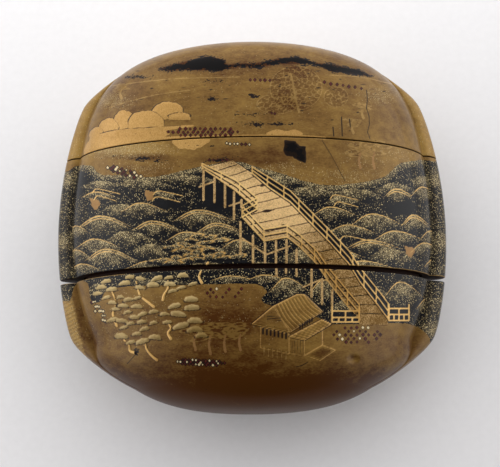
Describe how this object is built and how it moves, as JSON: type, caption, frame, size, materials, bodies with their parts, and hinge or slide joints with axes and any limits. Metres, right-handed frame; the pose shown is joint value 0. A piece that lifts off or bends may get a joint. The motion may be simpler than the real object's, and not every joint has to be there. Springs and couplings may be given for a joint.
{
  "type": "inro case",
  "caption": "Small lens-shaped lacquered box in stacked cases, with nested lips and cord ribs down both sides, lying on its back.",
  "frame": {"origin": "middle of the case's box, on the surface that the case lies on", "axes": "+Z out of the painted front, +Y towards the lid, +X to the right as seen from the front with the lid up"},
  "size_m": [0.062, 0.0586, 0.0257],
  "materials": {
    "gold_lacquer": "worn gold lacquer on wood, semi-gloss",
    "black_lacquer": "black lacquer with gold dust on wood, semi-gloss"
  },
  "bodies": {
    "root": {"lid": "gold_lacquer", "middle_case": "black_lacquer", "bottom_case": "gold_lacquer"}
  },
  "joints": []
}
